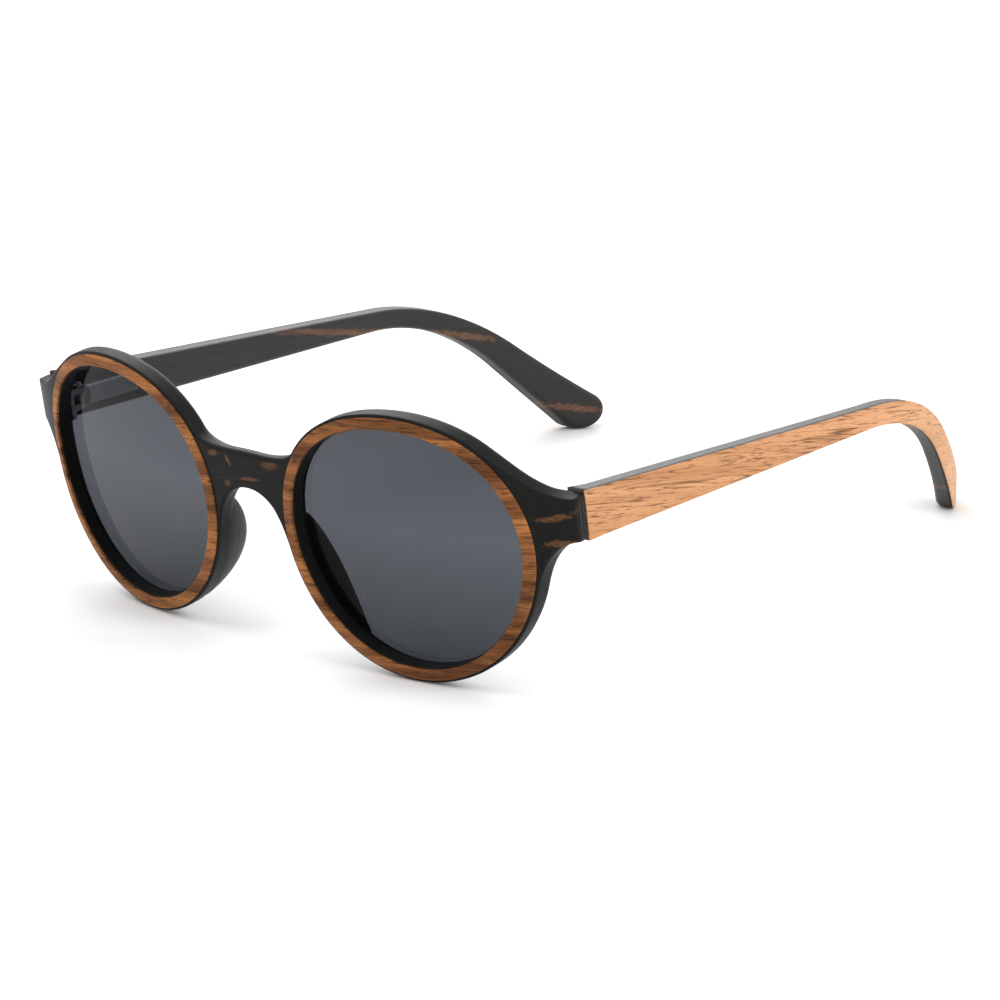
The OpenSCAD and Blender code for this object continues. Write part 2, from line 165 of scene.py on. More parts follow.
# How much the face's rounding grows away from the rims, and the back's on top of the bridge
CHEEK_GAPS = (0.5, 3.0)
CHEEK_GROWTH = 1.6
SADDLE_X = (13.0, 5.0)
SADDLE_Z = (8.0, 10.0)
SADDLE_GROWTH = 1.1
# Shares of the veneer's and core's roundings at the temple's butt end
SEAM_SHARES = (0.3, 0.12)
SEAM_FADE = 4.0

# Fineness of the meshes: steps along each kind of edge, and spacing of the points on faces
RIM_STEP = 1.5
SMALL_TURN = 0.1
BLEND_STEPS = 24
END_STEPS = 8
FILLET_STEPS = 6
WALL_STEPS = 4
LINE_STEPS = 60
BEND_STEPS = 40
TIP_STEPS = 16
CAP_STEPS = 24
SEAM_STEPS = 8
PLAN_ROUNDS = 4
PAD_STEPS = 60
PAD_ACROSS = 20
COIL_STEPS = 28
WIRE_SIDES = 10
FRONT_SPACING = 1.4
RING_SPACING = 1.2
TEMPLE_SPACING = 2.0
ROW_SHARE = 0.87
RIM_CLEAR = 0.6
MITRE_LEAST = 0.5
WELD = 1e-7

# Photograph's camera, in the CAD frame
CAMERA_AT = Vector((461.518, -522.123, 223.346)) * MM
CAMERA_AZIMUTH = math.radians(41.884)
CAMERA_ELEVATION = math.radians(16.982)
CAMERA_ROLL = math.radians(-1.664)
CAMERA_LENS = 132.43
CAMERA_SENSOR = 36.0
CAMERA_NEAR = 0.01

# Floor, in metres: its own light at distances from the middle makes up for the lamps' falling off,
# and fades in nooks close under the piece, as a painted contact shadow
FLOOR_HALF = 4.0
FLOOR_LEVEL = -0.0001
FLOOR_COLOUR = (0.92, 0.92, 0.92)
FLOOR_ROUGH = 0.9
FLOOR_REACH = 2.0
FLOOR_GLOW = ((0.04, 0.30), (0.16, 0.32), (1.0, 0.45), (2.0, 0.56))
PAINTED_SHADOW_REACH = 0.014
PAINTED_SHADOW_POWER = 2.8
PAINTED_SHADOW_SAMPLES = 2

# World's light on the pieces, and lamps: place and width in metres, power in watts
WORLD_LIGHT = 0.53
LAMPS = (
    ("key", (-0.4, -0.5, 1.1), 0.9, 4.2),
    ("back", (-0.6, 0.7, 0.6), 0.8, 4.5),
    ("side", (1.1, 0.1, 0.55), 0.8, 6.5),
)
LAMP_AIM = Vector((0, 0, 0.02))


# Outlines


def eye_r(a):
    """Radius of the eye outline, which is the ring's outer edge in the CAD."""
    return RING_RADIUS * (
        1 + EYE_OVAL * math.cos(2 * a) + EYE_PANTO * math.sin(3 * a) - EYE_SQUARE * math.cos(4 * a)
    )


def eye_pt(deg, out):
    """A point of the left eye's outline, moved outwards."""
    a = math.radians(deg)
    r = eye_r(a) + out
    return Vector((LENS_X + r * math.cos(a), r * math.sin(a)))


def eye_loop(out, side):
    points = [eye_pt(i * RIM_STEP, out) for i in range(int(360 / RIM_STEP))]
    return points if side > 0 else mirrored(points)


def eye_gap(x, z):
    """How far a point of the front lies outside the eye outline."""
    away = Vector((abs(x) - LENS_X, z))
    return away.length - eye_r(math.atan2(away.y, away.x))


def rim_pt(deg):
    return eye_pt(deg, RIM_MARGIN)


def rim_dir(deg):
    """Direction along the rim towards larger angles."""
    return (rim_pt(deg + SMALL_TURN) - rim_pt(deg - SMALL_TURN)).normalized()


def rim_run(a0, a1):
    n = math.ceil(abs(a1 - a0) / RIM_STEP)
    return [rim_pt(a0 + (a1 - a0) * i / n) for i in range(1, n + 1)]


def mirrored(points):
    return [Vector((-p.x, p.y)) for p in points]


def share(value, low, high):
    """How far a value is from low to high, kept between 0 and 1."""
    return min(max((value - low) / (high - low), 0), 1)


def blend_curve(p, q, r, s, n=BLEND_STEPS):
    """Points of a cubic curve from p to s with the handles q and r, without the first point."""
    out = []
    for i in range(1, n + 1):
        u = i / n
        v = 1 - u
        out.append(v * v * v * p + 3 * v * v * u * q + 3 * v * u * u * r + u * u * u * s)
    return out


END_X = LENS_X + eye_r(0) + END_REACH
SWEEP_X = END_X - SWEEP_RUN
SWEEP_AT = math.asin(SWEEP_X / FRONT_CURVE)
SWEEP_CX = SWEEP_X - SWEEP_RADIUS * math.sin(SWEEP_AT)
SWEEP_CY = FRONT_CURVE - (FRONT_CURVE - SWEEP_RADIUS) * math.cos(SWEEP_AT)


def face_y(x, d):
    """Distance of the front's face behind its apex at x, at depth d behind the ring faces."""
    x = abs(x)
    if x < (FRONT_CURVE - d) * math.sin(SWEEP_AT):
        return FRONT_CURVE - math.sqrt((FRONT_CURVE - d) ** 2 - x * x)
    return SWEEP_CY - math.sqrt(max((SWEEP_RADIUS - d) ** 2 - (x - SWEEP_CX) ** 2, 0))


SEAT_Y = face_y(END_X, RING_PROUD) + END_DEPTH
PIN_X = END_X - TEMPLE_T - KNUCKLE_GAP - KNUCKLE_R
PIN_Y = SEAT_Y + SEAM_GAP + PIN_SET
COS_LEAN = math.cos(FRONT_LEAN)
SIN_LEAN = math.sin(FRONT_LEAN)
HINGE_Y = PIN_Y * COS_LEAN - HINGE_Z * SIN_LEAN
# The left hinge's pin, from the frame, places everything else
left_fold = next(joint for joint in frame["joints"] if joint["name"] == "left_fold")
PIN = Vector(left_fold["pos_m"]) / MM
MID_Y = HINGE_Y - PIN.y
RING_LEVEL = PIN.z - PIN_Y * SIN_LEAN - HINGE_Z * COS_LEAN


def from_front(x, y, z):
    """A point of the leaning front's own frame, in metres in the CAD frame."""
    back = y * COS_LEAN - z * SIN_LEAN - MID_Y
    up = y * SIN_LEAN + z * COS_LEAN + RING_LEVEL
    return Vector((x, back, up)) * MM


def place_front(x, z, d):
    """A point of the bent front at a depth behind the ring faces."""
    return from_front(x, min(face_y(x, d), SEAT_Y), z)


def front_outline():
    """The front's outline, from the middle of the bridge over the left side, and mirrored."""
    bridge_top = Vector((0, BRIDGE_TOP))
    arch_top = Vector((0, BRIDGE_ARCH))
    end_top = Vector((END_X, END_TOP))
    end_foot = Vector((END_X, END_BOTTOM))
    half = [bridge_top]
    half += blend_curve(
        bridge_top,
        Vector((BRIDGE_FLAT, BRIDGE_TOP)),
        rim_pt(BRIDGE_TOP_AT) + BRIDGE_PULL * rim_dir(BRIDGE_TOP_AT),
        rim_pt(BRIDGE_TOP_AT),
    )
    half += rim_run(BRIDGE_TOP_AT, END_TOP_AT)
    half += blend_curve(
        rim_pt(END_TOP_AT),
        rim_pt(END_TOP_AT) - END_PULL * rim_dir(END_TOP_AT),
        Vector((END_X - END_FLAT, END_TOP + END_LIFT)),
        end_top,
    )
    half += [end_top.lerp(end_foot, i / END_STEPS) for i in range(1, END_STEPS + 1)]
    half += blend_curve(
        end_foot,
        Vector((END_X - FOOT_FLAT, END_BOTTOM - END_DIP)),
        rim_pt(END_BOTTOM_AT) + FOOT_PULL * rim_dir(END_BOTTOM_AT),
        rim_pt(END_BOTTOM_AT),
    )
    half += rim_run(END_BOTTOM_AT, BRIDGE_ARCH_AT)
    half += blend_curve(
        rim_pt(BRIDGE_ARCH_AT),
        rim_pt(BRIDGE_ARCH_AT) - ARCH_PULL * rim_dir(BRIDGE_ARCH_AT),
        Vector((ARCH_HALF, BRIDGE_ARCH)),
        arch_top,
    )
    return half + mirrored(half[-2:0:-1])


# Plates with rounded edges


def signed_area(points):
    return sum(p.x * q.y - q.x * p.y for p, q in zip(points, points[1:] + points[:1])) / 2


def turned(points, counterclockwise):
    return points if (signed_area(points) > 0) == counterclockwise else points[::-1]


def inward(points):
    """Unit normals to the left of a closed loop, lengthened at corners so that offsets stay parallel."""
    normals = []
    for i, p in enumerate(points):
        before = (p - points[i - 1]).normalized()
        after = (points[(i + 1) % len(points)] - p).normalized()
        a = Vector((-before.y, before.x))
        b = Vector((-after.y, after.x))
        mean = (a + b).normalized()
        normals.append(mean / max(mean.dot(a), MITRE_LEAST))
    return normals


def inside(points, loops):
    """For each 2-D point, whether it lies within the loops by the even-odd rule."""
    x = points[:, 0]
    y = points[:, 1]
    odd = np.zeros(len(points), bool)
    for loop in loops:
        a = np.array([tuple(p) for p in loop])
        b = np.roll(a, -1, axis=0)
        for (ax, ay), (bx, by) in zip(a, b):
            if ay == by:
                continue
            crosses = (ay > y) != (by > y)
            odd ^= crosses & (x < (bx - ax) * (y - ay) / (by - ay) + ax)
    return odd


def edge_profile(d0, d1, r0, r1):
    """Steps (inset, depth) of a wall from one face to the other, rounded by r0 and r1."""
    quarter = [math.pi / 2 * k / FILLET_STEPS for k in range(FILLET_STEPS + 1)]
    first = [(r0 * (1 - math.sin(t)), d0 + r0 * (1 - math.cos(t))) for t in quarter]
    last = [(r1 * (1 - math.cos(t)), d1 - r1 * (1 - math.sin(t))) for t in quarter]
    flat = [(0, d0 + r0 + (d1 - r1 - d0 - r0) * k / WALL_STEPS) for k in range(1, WALL_STEPS)]
    return first + flat + last


def new_plate():
    """An empty mesh whose vertices keep their depth, for the lines of the plies and stained edges."""
    bm = bmesh.new()
    bm.verts.layers.float.new("depth")
    return bm


def new_vert(bm, place, p, depth):
    vert = bm.verts.new(place(p.x, p.y, depth))
    vert[bm.verts.layers.float["depth"]] = depth
    return vert


def evenly(p):
    """The same roundings all round a plate."""
    return 1, 1


def slab(name, loops, depths, radii, place, spacing, soften=evenly):
    """A plate with rounded edges: loops give its outline and holes, and place bends it into its form.

    Depths and radii are those of its first and its second face, and soften gives shares of the radii
    at a point of a loop.
    """
    bm = new_plate()
    flat = ([], [])
    rims = ([], [])
    for number, loop in enumerate(loops):
        points = turned(loop, number == 0)
        rows = []
        for p, normal in zip(points, inward(points)):
            s0, s1 = soften(p)
            steps = edge_profile(depths[0], depths[1], radii[0] * s0, radii[1] * s1)
            at = [p + normal * inset for inset, _ in steps]
            rows.append([new_vert(bm, place, q, d) for q, (_, d) in zip(at, steps)])
            flat[0].append(at[0])
            flat[1].append(at[-1])
        for row, after in zip(rows, rows[1:] + rows[:1]):
            for k in range(len(row) - 1):
                bm.faces.new((row[k], after[k], after[k + 1], row[k + 1]))
        rims[0].append([row[0] for row in rows])
        rims[1].append([row[-1] for row in rows])
    for face in (0, 1):
        fill_face(bm, rims[face], flat[face], depths[face], place, spacing)
    bmesh.ops.remove_doubles(bm, verts=bm.verts, dist=WELD)
    bmesh.ops.recalc_face_normals(bm, faces=bm.faces)
    return mesh_object(name, bm)


def fill_face(bm, rims, flat, depth, place, spacing):
    """Fills a face between its rims with even triangles."""
    loops = []
    edges = []
    start = 0
    for rim in rims:
        n = len(rim)
        loops.append(flat[start:start + n])
        edges += [(start + i, start + (i + 1) % n) for i in range(n)]
        start += n
    corner = np.array([tuple(p) for p in flat])
    lo = corner.min(axis=0)
    hi = corner.max(axis=0)
    grid = np.array(
        [
            (x + spacing / 2 * (row % 2), y)
            for row, y in enumerate(np.arange(lo[1], hi[1], spacing * ROW_SHARE))
            for x in np.arange(lo[0], hi[0], spacing)
        ]
    )
    grid = grid[inside(grid, loops)]
    near = np.array([np.min(np.sum((corner - g) ** 2, axis=1)) for g in grid])
    grid = grid[near > (RIM_CLEAR * spacing) ** 2]
    points = flat + [Vector(g) for g in grid]
    found, _, triangles, origins, _, _ = delaunay_2d_cdt(points, edges, [], 0, WELD)
    rim_verts = [v for rim in rims for v in rim]
    verts = []
    for p, origin in zip(found, origins):
        known = [i for i in origin if i < len(rim_verts)]
        verts.append(rim_verts[known[0]] if known else new_vert(bm, place, p, depth))
    middles = np.array([tuple((found[a] + found[b] + found[c]) / 3) for a, b, c in triangles])
    for keep, (a, b, c) in zip(inside(middles, loops), triangles):
        corners = (verts[a], verts[b], verts[c])
        if keep and len(set(corners)) == 3 and bm.faces.get(corners) is None:
            bm.faces.new(corners)


def mesh_object(name, bm, even_normals=True):
    mesh = bpy.data.meshes.new(name)
    bm.to_mesh(mesh)
    bm.free()
    mesh.shade_smooth()
    obj = bpy.data.objects.new(name, mesh)
    bpy.context.scene.collection.objects.link(obj)
    if even_normals:
        obj.modifiers.new("even_normals", "WEIGHTED_NORMAL")
    return obj


def cut(obj, cutter):
    """Cuts one closed mesh out of another, and applies the piece's modifiers."""
    modifier = obj.modifiers.new("cut", "BOOLEAN")
    modifier.operation = "DIFFERENCE"
    modifier.solver = "EXACT"
    modifier.object = cutter
    bpy.context.view_layer.update()
    graph = bpy.context.evaluated_depsgraph_get()
    mesh = bpy.data.meshes.new_from_object(obj.evaluated_get(graph))
    obj.modifiers.clear()
    obj.data = mesh
    bpy.data.objects.remove(cutter)


def wear_only(obj, material):
    obj.data.materials.clear()
    obj.data.materials.append(material)


def dress(obj, body, material, slot, *nodes):
    """Puts a piece on its body, in its material, in place of its CAD nodes."""
    wear_only(obj, material)
    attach(obj, body)
    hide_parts(*nodes)


# Node materials

BLACK = (0, 0, 0)
WHITE = (1, 1, 1)
NO_TURN = (0, 0, 0)


def grey(value):
    return (value, value, value)


def rgba(colour):
    return (*colour, 1)


class Nodes:
    """A short way to write the node tree of a material or of the world."""

    def __init__(self, owner, shader="Principled BSDF"):
        owner.use_nodes = True
        self.owner = owner
        self.tree = owner.node_tree
        self.shader = self.tree.nodes[shader]

    def add(self, kind, links=None, **values):
        node = self.tree.nodes.new(kind)
        for key, value in values.items():
            setattr(node, key, value)
        for key, value in (links or {}).items():
            self.put(node, key, value)
        return node

    def put(self, node, key, value):
        """Links a socket to a node's input, or sets the input's value."""
        socket = node.inputs[key]
        if isinstance(value, bpy.types.NodeSocket):
            self.tree.links.new(value, socket)
        else:
            socket.default_value = value

    def set(self, **values):
        """Sets inputs of the shader, with underscores for the spaces in their names."""
        for key, value in values.items():
            self.put(self.shader, key.replace("_", " "), value)

    def math(self, operation, a, b=0):
        return self.add("ShaderNodeMath", {0: a, 1: b}, operation=operation).outputs[0]

    def least(self, values):
        out = values[0]
        for value in values[1:]:
            out = self.math("MINIMUM", out, value)
        return out

    def coords(self):
        """The object's own coordinates, in metres."""
        return self.add("ShaderNodeTexCoord").outputs["Object"]

    def axis(self, letter):
        return self.add("ShaderNodeSeparateXYZ", {0: self.coords()}).outputs[letter]

    def length(self, vector):
        return self.add("ShaderNodeVectorMath", {0: vector}, operation="LENGTH").outputs["Value"]

    def depth(self):
        """The depth that a plate's vertices keep, in millimetres."""
        return self.add("ShaderNodeAttribute", attribute_name="depth").outputs["Fac"]

    def place(self, scale, turn=NO_TURN, shift=(0, 0, 0)):
        """The object's coordinates, turned and then scaled."""
        links = {"Vector": self.coords(), "Rotation": turn}
        turned_to = self.add("ShaderNodeMapping", links).outputs["Vector"]
        links = {"Vector": turned_to, "Scale": scale, "Location": shift}
        return self.add("ShaderNodeMapping", links).outputs["Vector"]

    def reach(self, centre, turn, halves):
        """Distance from a placed ellipsoid's centre, 1 at its surface."""
        links = {"Vector": self.coords(), "Location": centre, "Rotation": turn, "Scale": halves}
        return self.length(self.add("ShaderNodeMapping", links, vector_type="TEXTURE").outputs["Vector"])

    def noise(self, vector, detail=4.0, rough=0.55, bend=0.0):
        links = {"Vector": vector, "Scale": 1.0, "Detail": detail, "Roughness": rough, "Distortion": bend}
        return self.add("ShaderNodeTexNoise", links).outputs["Fac"]

    def ramp(self, value, *stops):
        node = self.add("ShaderNodeValToRGB", {"Fac": value})
        elements = node.color_ramp.elements
        while len(elements) < len(stops):
            elements.new(0.5)
        for element, (at, colour) in zip(elements, stops):
            element.position = at
            element.color = rgba(colour)
        return node.outputs["Color"]

    def fade(self, value, span, first, last):
        """A colour that goes from first to last over a span of the value."""
        return self.ramp(value, (span[0], first), (span[1], last))

    def mix(self, factor, a, b):
        return self.add("ShaderNodeMix", {0: factor, 6: a, 7: b}, data_type="RGBA").outputs[2]

    def spread(self, value, low, high):
        """A value from 0 to 1, spread from low to high."""
        links = {"Value": value, "To Min": low, "To Max": high}
        return self.add("ShaderNodeMapRange", links).outputs["Result"]

    def rise(self, value, low, high):
        """0 up to low, 1 from high on, and even in between."""
        links = {"Value": value, "From Min": low, "From Max": high}
        return self.add("ShaderNodeMapRange", links).outputs["Result"]

    def bump(self, height, strength, distance):
        links = {"Height": height, "Strength": strength, "Distance": distance}
        return self.add("ShaderNodeBump", links).outputs["Normal"]

    def seen(self):
        """1 for what the camera sees, also by way of metal and glass, and 0 for light on the pieces."""
        path = self.add("ShaderNodeLightPath").outputs
        either = self.math("MAXIMUM", path["Is Camera Ray"], path["Is Glossy Ray"])
        return self.math("MAXIMUM", either, path["Is Transmission Ray"])


# Ebony: scales of its noises across and along the grain, per metre
EBONY_STREAKS = (170.0, 38.0)
EBONY_GRAIN = (2400.0, 90.0)
EBONY_RAGGED = (1500.0, 260.0)
GRAIN_SPAN = (0.3, 0.7)
STREAK_FADE = 0.07
STREAK_STRENGTH = 0.55
BROWN_TONE = ((0.075, 0.034, 0.016), (0.20, 0.092, 0.046))
# Marks are streaks in given places, with frayed edges
MARK_SPAN = (0.55, 1.0)
MARK_STRENGTH = 0.85
MARK_FRAY = 0.8
MARK_DEEP = 3.0
MARK_THROUGH = 200.0
# Lines between plies, in millimetres
PLY_SPAN = (0.04, 0.14)
PLY_STRENGTH = 0.6
PLY_FADE = 4.0
PLY_COLOUR = (0.085, 0.062, 0.048)
EBONY_ROUGH = (0.36, 0.54)
EBONY_BUMP = (0.25, 0.00006)


def ebony(name, along, shift, tone, streaks, marks=(), turn=NO_TURN, plies=(), plies_from=None, gloss=0.2):
    """Near-black wood with a satin finish: fine grain along an axis, brown streaks and lines of plies.

    Streaks show where their noise passes the value streaks. Plies are depths in the plate, and where
    plies_from is given, their lines show only from that distance from the middle on.
    """
    n = Nodes(bpy.data.materials.new(name))

    def grained(scales, **look):
        scale = [scales[0]] * 3
        scale[along] = scales[1]
        return n.noise(n.place(scale, turn, shift), **look)

    streak = grained(EBONY_STREAKS, detail=3, rough=0.5, bend=0.6)
    grain = grained(EBONY_GRAIN, detail=5, rough=0.6)
    ragged = grained(EBONY_RAGGED, detail=4, rough=0.6)
    colour = n.fade(grain, GRAIN_SPAN, *tone)
    brown = n.fade(grain, GRAIN_SPAN, *BROWN_TONE)
    faint = n.fade(streak, (streaks, streaks + STREAK_FADE), BLACK, grey(STREAK_STRENGTH))
    colour = n.mix(faint, colour, brown)
    if marks:
        nearest = n.least([n.reach(*mark) for mark in marks])
        frayed = n.math("ADD", nearest, n.spread(ragged, -MARK_FRAY, MARK_FRAY))
        colour = n.mix(n.fade(frayed, MARK_SPAN, grey(MARK_STRENGTH), BLACK), colour, brown)
    if plies:
        depth = n.depth()
        gaps = [n.math("ABSOLUTE", n.math("SUBTRACT", depth, at)) for at in plies]
        line = n.fade(n.least(gaps), PLY_SPAN, grey(PLY_STRENGTH), BLACK)
        if plies_from:
            away = n.math("ABSOLUTE", n.axis("X"))
            line = n.math("MULTIPLY", line, n.rise(away, plies_from * MM, (plies_from + PLY_FADE) * MM))
        colour = n.mix(line, colour, rgba(PLY_COLOUR))
    n.set(Base_Color=colour)
    n.set(Roughness=n.spread(grain, *EBONY_ROUGH), Specular_IOR_Level=gloss)
    n.set(Normal=n.bump(grain, *EBONY_BUMP))
    return n.owner


# Brown wood: scale of each noise across the grain, per metre, and its stretch along it
WOOD_BANDS = (230.0, 14)
WOOD_FLECKS = (1700.0, 20)
WOOD_PORES = (3600.0, 13)
LINE_STRETCH = 20
BAND_SPAN = (0.38, 0.62)
FLECK_SPAN = (0.68, 0.78)
FLECK_STRENGTH = 0.8
PORE_SPAN = (0.31, 0.42)
PORE_STRENGTH = 0.75
# Lines are ridges between levels of a noise, which come and go with the flecks
LINE_LEVELS = 10.0
LINE_SPAN = (0.36, 0.48)
LINE_BREAKS = (0.40, 0.60)
LINE_LEAST = 0.25
LINE_STRENGTH = 0.95
# Towards the temples' tips the lines fade and the colour is mixed towards a paler one, as painted light
TIP_FADE_LINES = 0.35
TIP_LIGHT_SHARE = 0.6
TIP_LIGHT_COLOUR = (0.86, 0.50, 0.285)
STAIN_FADE = 0.1
STAIN_COLOUR = (0.018, 0.016, 0.014)
WOOD_ROUGH = (0.46, 0.64)
WOOD_GLOSS = 0.16
WOOD_BUMP = (0.3, 0.00008)


def figured(name, shift, turn, colours, line_scale, lit_towards_tip=None, stained_from=None):
    """Brown wood cut as a sheet, grain across Z: soft bands, thin lines that come and go, flecks and pores.

    From the first to the second of the Y values given for the tip, in metres, the lines grow fainter and
    the wood paler, as painted light towards the tip.
    The sheet is stained dark where its depth is more than stained_from, in millimetres.
    """
    pale, mid, dark = colours
    n = Nodes(bpy.data.materials.new(name))

    def across(scale, stretch):
        return n.place((scale / stretch, scale / stretch, scale), turn, shift)

    bands = n.noise(across(*WOOD_BANDS), detail=4, bend=0.6)
    field = n.noise(across(line_scale, LINE_STRETCH), detail=3, rough=0.5, bend=0.3)
    flecks = n.noise(across(*WOOD_FLECKS), detail=3, rough=0.6)
    pores = n.noise(across(*WOOD_PORES), detail=2, rough=0.5)
    saw = n.math("FRACT", n.math("MULTIPLY", field, LINE_LEVELS))
    ridge = n.math("ABSOLUTE", n.math("SUBTRACT", saw, 0.5))
    strength = n.spread(n.fade(flecks, LINE_BREAKS, BLACK, WHITE), LINE_LEAST, 1.0)
    lines = n.math("MULTIPLY", n.fade(ridge, LINE_SPAN, BLACK, WHITE), strength)
    colour = n.fade(bands, BAND_SPAN, mid, pale)
    # painted light: the wood grows paler and its lines fainter towards the tip
    if lit_towards_tip:
        back = n.rise(n.axis("Y"), *lit_towards_tip)
        lines = n.math("MULTIPLY", lines, n.spread(back, 1.0, TIP_FADE_LINES))
        colour = n.mix(n.spread(back, 0.0, TIP_LIGHT_SHARE), colour, rgba(TIP_LIGHT_COLOUR))
    colour = n.mix(n.math("MULTIPLY", lines, LINE_STRENGTH), colour, rgba(dark))
    colour = n.mix(n.fade(flecks, FLECK_SPAN, BLACK, grey(FLECK_STRENGTH)), colour, rgba(dark))
    colour = n.mix(n.fade(pores, PORE_SPAN, grey(PORE_STRENGTH), BLACK), colour, rgba(dark))
    if stained_from:
        stain = n.fade(n.depth(), (stained_from, stained_from + STAIN_FADE), BLACK, WHITE)
        colour = n.mix(stain, colour, rgba(STAIN_COLOUR))
    n.set(Base_Color=colour)
    n.set(Roughness=n.spread(flecks, *WOOD_ROUGH), Specular_IOR_Level=WOOD_GLOSS)
    n.set(Normal=n.bump(n.math("SUBTRACT", pores, lines), *WOOD_BUMP))
    return n.owner


# Lens: tint at shares of twice the height of its middle, darkest at the bottom as painted shade and
# lightest just above the middle as a painted reflection. The low index keeps reflections faint
LENS_TINT_AND_PAINTED_LIGHT = (
    (0.05, (0.0425, 0.0463, 0.0524)),
    (0.55, (0.0910, 0.0974, 0.1120)),
    (0.95, (0.0700, 0.0755, 0.0871)),
)
LENS_HAZE = 0.04
LENS_HAZE_SCALE = (90, 90, 90)
LENS_IOR = 1.14


def lens_glass():
    """Grey tinted lens, with painted shade towards its lower edge and a painted reflection across its
    middle, and a faint unevenness.
    """
    n = Nodes(bpy.data.materials.new("grey_lens"))
    height = n.rise(n.axis("Z"), 0.0, 2 * RING_LEVEL * MM)
    haze = n.spread(n.noise(n.place(LENS_HAZE_SCALE), detail=3), -LENS_HAZE, LENS_HAZE)
    # the grey tint is painted darker at the bottom as shade and lighter about the middle as a reflection
    tint_and_painted_light = n.ramp(n.math("ADD", height, haze), *LENS_TINT_AND_PAINTED_LIGHT)
    n.set(Base_Color=tint_and_painted_light, Transmission_Weight=1.0, IOR=LENS_IOR, Roughness=0.0)
    return n.owner


# Steel: scale of its drawn lines, and what they do to tone, roughness and surface
STEEL_LINES = (9000, 300, 9000)
STEEL_DARKER = 0.8
STEEL_ROUGHER = (-0.06, 0.1)
STEEL_BUMP = (0.1, 0.00002)


def steel(name, tone, rough):
    """Brushed steel with fine drawn lines along the temple."""
    n = Nodes(bpy.data.materials.new(name))
    lines = n.noise(n.place(STEEL_LINES), detail=2)
    darker = tuple(STEEL_DARKER * c for c in tone)
    n.set(Base_Color=n.fade(lines, GRAIN_SPAN, darker, tone), Metallic=1.0)
    n.set(Roughness=n.spread(lines, rough + STEEL_ROUGHER[0], rough + STEEL_ROUGHER[1]))
    n.set(Normal=n.bump(lines, *STEEL_BUMP))
    return n.owner


def front_mark(x, z, half_len, half_width, slope):
    """A streak at a place on the front's face, as a thin ellipsoid through the wood."""
    centre = from_front(x, face_y(x, RING_PROUD), z)
    return centre, (0, -math.radians(slope), 0), Vector((half_len, MARK_DEEP, half_width)) * MM


def temple_mark(y, z, half_len, half_width, slope):
    """A streak at a place on the temples' inner faces."""
    halves = Vector((MARK_THROUGH, half_len, half_width)) * MM
    return Vector((0, y, z)) * MM, (math.radians(slope), 0, 0), halves


GRAIN_X = 0
GRAIN_Y = 1
GRAIN_FALL = (math.radians(11), 0, 0)
RING_TURN = (0, 0.06, 0)
FRONT_PLIES = (1.5, 2.3, 3.0, 3.8)
PAD_PLIES = (5.4, 6.6, 7.6)
FRONT_MARKS = [
    front_mark(-7.8, 11.6, 1.5, 0.7, 10),
    front_mark(-3.8, 10.8, 1.4, 0.5, -62),
    front_mark(6.8, 11.5, 2.5, 1.0, 8),
    front_mark(1.0, 8.0, 3.0, 0.42, 5),
    front_mark(-4.7, 6.3, 1.1, 0.9, 20),
    front_mark(65.2, 8.4, 4.2, 0.75, 12),
    front_mark(65.8, 3.7, 3.6, 0.75, 7),
]
TEMPLE_MARKS = [
    temple_mark(12.0, 32.9, 21.0, 1.0, -11.6),
    temple_mark(47.5, 25.2, 11.0, 1.0, -15.4),
    temple_mark(71.5, 5.2, 8.5, 1.0, -14.0),
]
FRONT_TONE = ((0.0045, 0.0045, 0.0042), (0.0110, 0.0104, 0.0098))
CORE_TONE = ((0.0060, 0.0052, 0.0045), (0.0200, 0.0172, 0.0143))
PAD_TONE = ((0.010, 0.0094, 0.0086), (0.028, 0.0255, 0.0225))
RING_COLOURS = ((0.52, 0.200, 0.062), (0.145, 0.050, 0.0145), (0.030, 0.012, 0.006))
VENEER_COLOURS = ((0.76, 0.385, 0.186), (0.55, 0.252, 0.108), (0.17, 0.068, 0.030))
EBONY_FRONT = ebony(
    "ebony_front",
    GRAIN_X,
    (3.1, 0.4, 1.7),
    FRONT_TONE,
    streaks=0.68,
    marks=FRONT_MARKS,
    plies=FRONT_PLIES,
    plies_from=END_X - 5.0,
    gloss=0.12,
)
EBONY_PAD = ebony("ebony_pad", GRAIN_X, (7.3, 2.4, 5.7), PAD_TONE, streaks=0.7, plies=PAD_PLIES)
EBONY_TEMPLE = ebony(
    "ebony_temple",
    GRAIN_Y,
    (1.3, 0.9, 4.2),
    CORE_TONE,
    streaks=0.7,
    marks=TEMPLE_MARKS,
    turn=GRAIN_FALL,
    gloss=0.36,
)
RING_WOOD = figured("ring_wood", (0.7, 2.2, 0.3), RING_TURN, RING_COLOURS, line_scale=620.0)
VENEER_WOOD = figured(
    "veneer_wood",
    (2.7, 0.2, 1.3),
    GRAIN_FALL,
    VENEER_COLOURS,
    line_scale=360.0,
    lit_towards_tip=(0.020, 0.070),
    stained_from=0.22,
)
LENS_GLASS = lens_glass()
STEEL = steel("hinge_steel", (0.36, 0.365, 0.375), 0.3)
SPRING_STEEL = steel("spring_steel", (0.5, 0.51, 0.53), 0.25)


# The front


def leaf_pocket(side):
    """A box that cuts the hinge leaf's recess out of the front's back."""
    x1 = PIN_X + KNUCKLE_R
    x0 = x1 - LEAF_LEN
    y0 = face_y(x0, FRONT_BACK)
    bm = bmesh.new()
    made = bmesh.ops.create_cube(bm, size=1.0)
    for v in made["verts"]:
        x = x1 if v.co.x > 0 else x0
        y = y0 + POCKET_REACH if v.co.y > 0 else y0
        v.co = from_front(side * x, y, HINGE_Z + v.co.z * LEAF_H)
    bmesh.ops.recalc_face_normals(bm, faces=bm.faces)
    return mesh_object("pocket", bm)


